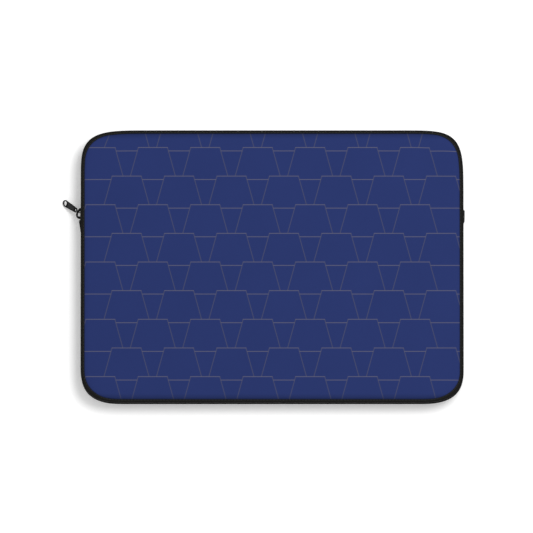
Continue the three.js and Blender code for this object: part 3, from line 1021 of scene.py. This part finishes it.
def link_wire():
    """A flattened ring round the slider's arch, thinner where it crosses the tab's small hole."""
    start, end, half, bend, sides = -1.5, LINK_REACH, 1.5, 0.75, 12
    thick, thin = 0.5, 0.26
    points = round_bar(start, end, -half, half, bend, steps=6)
    count = len(points)
    points = np.array([(x, 0, z) for x, z in points[count // 2:] + points[:count // 2 + 1]])
    radii = np.interp(points[:, 0], (start, end), (thick, thin))
    vertices, _ = tube(points * MM, radii * MM, sides)
    faces = ring_faces(count, sides, closed=True)
    piece = new_piece("link_wire", vertices[:count * sides], faces, METAL)
    piece.data.transform(LINK)
    return piece


link = link_wire()

# The tab, in millimetres from its eye's middle.
EYE = 0.6  # the tab hangs on its eye's inner rim, so the eye's middle is beyond the link's bar
EYE_RADIUS = 1.15
TAB_LENGTH = 16.6
TAB_HALF_WIDTH = 3.2
TIP_LENGTH = 3.2
WINDOW_FROM_TIP = 3.0
RIM_THICKNESS, FIELD_THICKNESS = 1.1, 0.6
GRIP_RIBS = 7


def oval(x, rx, ry, first=0, last=345, count=24):
    """An oval's outline, whole or from one angle to another, in degrees."""
    turns = [math.radians(t) for t in np.linspace(first, last, count)]
    return [(x + rx * math.cos(t), ry * math.sin(t)) for t in turns]


def tab_casting():
    """A rim round a sunk, ribbed field, with an eye at one end and a window at the other."""
    frame_at = TAB @ Matrix.Translation((EYE * MM, 0, 0))
    eye_end = oval(0.5, 2.25, 2.35, 90, 270, 21)
    tip = oval(TAB_LENGTH - TIP_LENGTH, TIP_LENGTH, TAB_HALF_WIDTH, -90, 90, 21)
    eye = oval(0, EYE_RADIUS, EYE_RADIUS)
    window = oval(TAB_LENGTH - WINDOW_FROM_TIP, 1.75, 2.3)
    recess = [(2.6, 0)] + mirrored([(2.9, 1.35), (3.5, 1.75), (10.0, 2.3), (10.6, 1.9), (10.5, 0.8)])
    rim = plate("tab_rim", [eye_end + tip, eye, window, recess], RIM_THICKNESS, 0.18, METAL, frame_at)
    middle = 6.6
    field = [(middle + 1.06 * (x - middle), 1.12 * y) for x, y in recess]
    parts = [rim, plate("tab_field", [field], FIELD_THICKNESS, 0.05, RECESS, frame_at)]
    for face in (-1, 1):
        ends, crest = 0.3 * face, 0.37 * face
        for k in range(GRIP_RIBS):
            x = 3.7 + 0.98 * k
            half = 1.2 + 0.08 * (x - 3.2)
            line = [(x, -half, ends), (x + 0.25, 0, crest), (x, half, ends)]
            parts.append(wire_piece("tab_grip", spline_points(line, 7), 0.13, RECESS, frame_at, 6))
    return join("pull_tab_casting", parts)


tab = tab_casting()


# ---- what each piece is and rides on
def seam_nodes(prefix):
    return [name for name in frame["nodes"] if name.startswith(prefix + "_seam_tape")]


FRONT = {
    front_panel: ("printed_fabric", ["front_lower_printed_face", "front_lower_foam",
                                     "front_flap_printed_face", "front_flap_foam"]),
    front_lining: ("lining", ["front_lower_lining", "front_flap_lining"]),
    front_binding: ("binding", ["front_lower_binding", "front_flap_binding"]),
    front_stitches: ("binding", []),
    front_seam: ("binding", seam_nodes("front_lower") + seam_nodes("front_flap")),
    front_tape: ("zip_tape", ["flap_zip_tape", "front_zip_tape_left_end", "front_zip_tape_right_end"]),
    front_coil: ("zip_nylon", ["flap_zip_coil", "front_zip_coil_left_end", "front_zip_coil_right_end"]),
    front_coil_thread: ("zip_tape", []),
}
SHELL = {
    back_panel: ("printed_fabric", ["back_printed_face", "back_foam"]),
    back_lining: ("lining", ["back_lining"]),
    back_binding: ("binding", ["back_binding"]),
    back_stitches: ("binding", []),
    back_seam: ("binding", seam_nodes("back")),
    back_tape: ("zip_tape", ["back_zip_tape"]),
    back_coil: ("zip_nylon", ["back_zip_coil"]),
    back_coil_thread: ("zip_tape", []),
    gusset: ("binding", ["bottom_gusset"]),
    left_tab: ("binding", ["zip_end_tab_left"]),
    left_tab_seam: ("binding", []),
    right_tab: ("binding", ["zip_end_tab_right"]),
    right_tab_seam: ("binding", []),
    care_label: ("label", ["care_label"]),
}
METAL_PARTS = {
    slider: ("slider", "slider_body"),
    link: ("pull_link", "pull_link"),
    tab: ("pull_tab", "pull_tab"),
}


# ---- settled corners
# The soft corners have settled out of true: how far each reaches along x and y, in millimetres, and
# how square it is.
SETTLED = {(-1, 1): (65, 47, 4.25), (1, 1): (60, 66, 4.9),
           (-1, -1): (40, 33, 2.8), (1, -1): (40, 30, 2.7)}
SETTLE_START, SETTLE_SPAN = 0.55, 0.45  # where on the way out it starts, and how far on it is full


def round_reach(x, y, rx, ry):
    """How many times the way to x, y, from a corner's inner end, takes one to its round outline."""
    cx, cy = rx - CORNER, ry - CORNER
    to_side, to_top = rx / x, ry / y
    along_way, way = x * cx + y * cy, x * x + y * y
    root = np.sqrt(np.maximum(along_way ** 2 - way * (cx * cx + cy * cy - CORNER ** 2), 0))
    to_arc = (along_way + root) / way
    return np.where(to_side * y <= cy, to_side, np.where(to_top * x <= cx, to_top, to_arc))


def settle(piece):
    """Moves a piece with its corners, most at the outline and not at all well inside."""
    vertices = piece.data.vertices
    places = np.empty(3 * len(vertices), np.float32)
    vertices.foreach_get("co", places)
    places = places.reshape(-1, 3)
    for (side_x, side_y), (rx, ry, square) in SETTLED.items():
        start_x, start_y = HALF_WIDTH - rx * MM, HALF_HEIGHT - ry * MM
        x, y = side_x * places[:, 0] - start_x, side_y * places[:, 1] - start_y
        here = (x > 0) & (y > 0)
        x, y = x[here].astype(float), y[here].astype(float)
        to_round = round_reach(x, y, rx * MM, ry * MM)
        to_settled = ((x / rx) ** square + (y / ry) ** square) ** (-1 / square) * MM
        share = smooth_step((1 / to_round - SETTLE_START) / SETTLE_SPAN)
        factor = 1 + (to_settled / to_round - 1) * share
        places[here, 0] = side_x * (start_x + x * factor)
        places[here, 1] = side_y * (start_y + y * factor)
    vertices.foreach_set("co", places.ravel())
    piece.data.update()


for piece in (*FRONT, *SHELL):
    settle(piece)


def declare(nodes):
    if nodes:
        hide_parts(*nodes)


for piece, (slot, nodes) in FRONT.items():
    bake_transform(piece)
    declare(nodes)
for piece, (slot, nodes) in SHELL.items():
    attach(piece, "shell")
    declare(nodes)
for piece, (body, node) in METAL_PARTS.items():
    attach(piece, body)
    declare([node])
for node in ("zip_stop_left", "zip_stop_right"):
    materials = frame["nodes"][node].data.materials
    materials.clear()
    materials.append(METAL)


# ---- floor, light and camera
def studio_floor():
    pale = (0.9, 0.9, 0.9)
    shader = Shader("studio_floor", pale, 0.9, Emission_Color=(1, 1, 1, 1), Emission_Strength=0.25)
    shader.color(shader.mix(shader.noise(3.0), pale, (0.91, 0.91, 0.91)))
    size = 6.0
    corners = [(-size, -size, 0), (size, -size, 0), (size, size, 0), (-size, size, 0)]
    floor = new_piece("studio_floor", corners, [(0, 1, 2, 3)], shader.material,
                      [c[:2] for c in corners])
    floor.location.z = -0.05 * MM


def look_down(thing, backwards):
    """Turns a light or a camera so that it looks against the way backwards."""
    thing.rotation_mode = "QUATERNION"
    thing.rotation_quaternion = backwards.to_track_quat("Z", "Y")


def area_light(name, location, size, power):
    data = bpy.data.lights.new(name, "AREA")
    data.shape = "DISK"
    data.size = size
    data.energy = power
    light = add_object(name, data)
    light.location = location
    look_down(light, Vector(location))


def studio_world(strength):
    world = bpy.data.worlds.new("studio_world")
    bpy.context.scene.world = world
    world.use_nodes = True
    background = world.node_tree.nodes["Background"].inputs
    background["Color"].default_value = (1, 1, 1, 1)
    background["Strength"].default_value = strength


def top_camera():
    """Almost straight above, far away, tipped so that a little of the bottom wall shows."""
    distance, tip = 12.0, math.radians(4.5)
    view_width = 0.4802  # what the picture takes in, at this height below the front face
    below_face = 2.4 * MM
    data = bpy.data.cameras.new("top_camera")
    data.lens = data.sensor_width * (distance - THICKNESS / 2 + below_face) / view_width
    camera = add_object("top_camera", data)
    target = Vector((-5.07 * MM, 0.7 * MM, MIDDLE))
    back = Vector((0, -math.sin(tip), math.cos(tip)))
    camera.location = target + back * distance
    look_down(camera, back)
    bpy.context.scene.camera = camera


studio_floor()
studio_world(0.45)
area_light("key_light", location=(0.56, 0.52, 1.9), size=1.0, power=26)
area_light("fill_light", location=(0.0, 0.1, 2.4), size=2.2, power=9)
top_camera()
bpy.context.scene.view_settings.view_transform = "Standard"
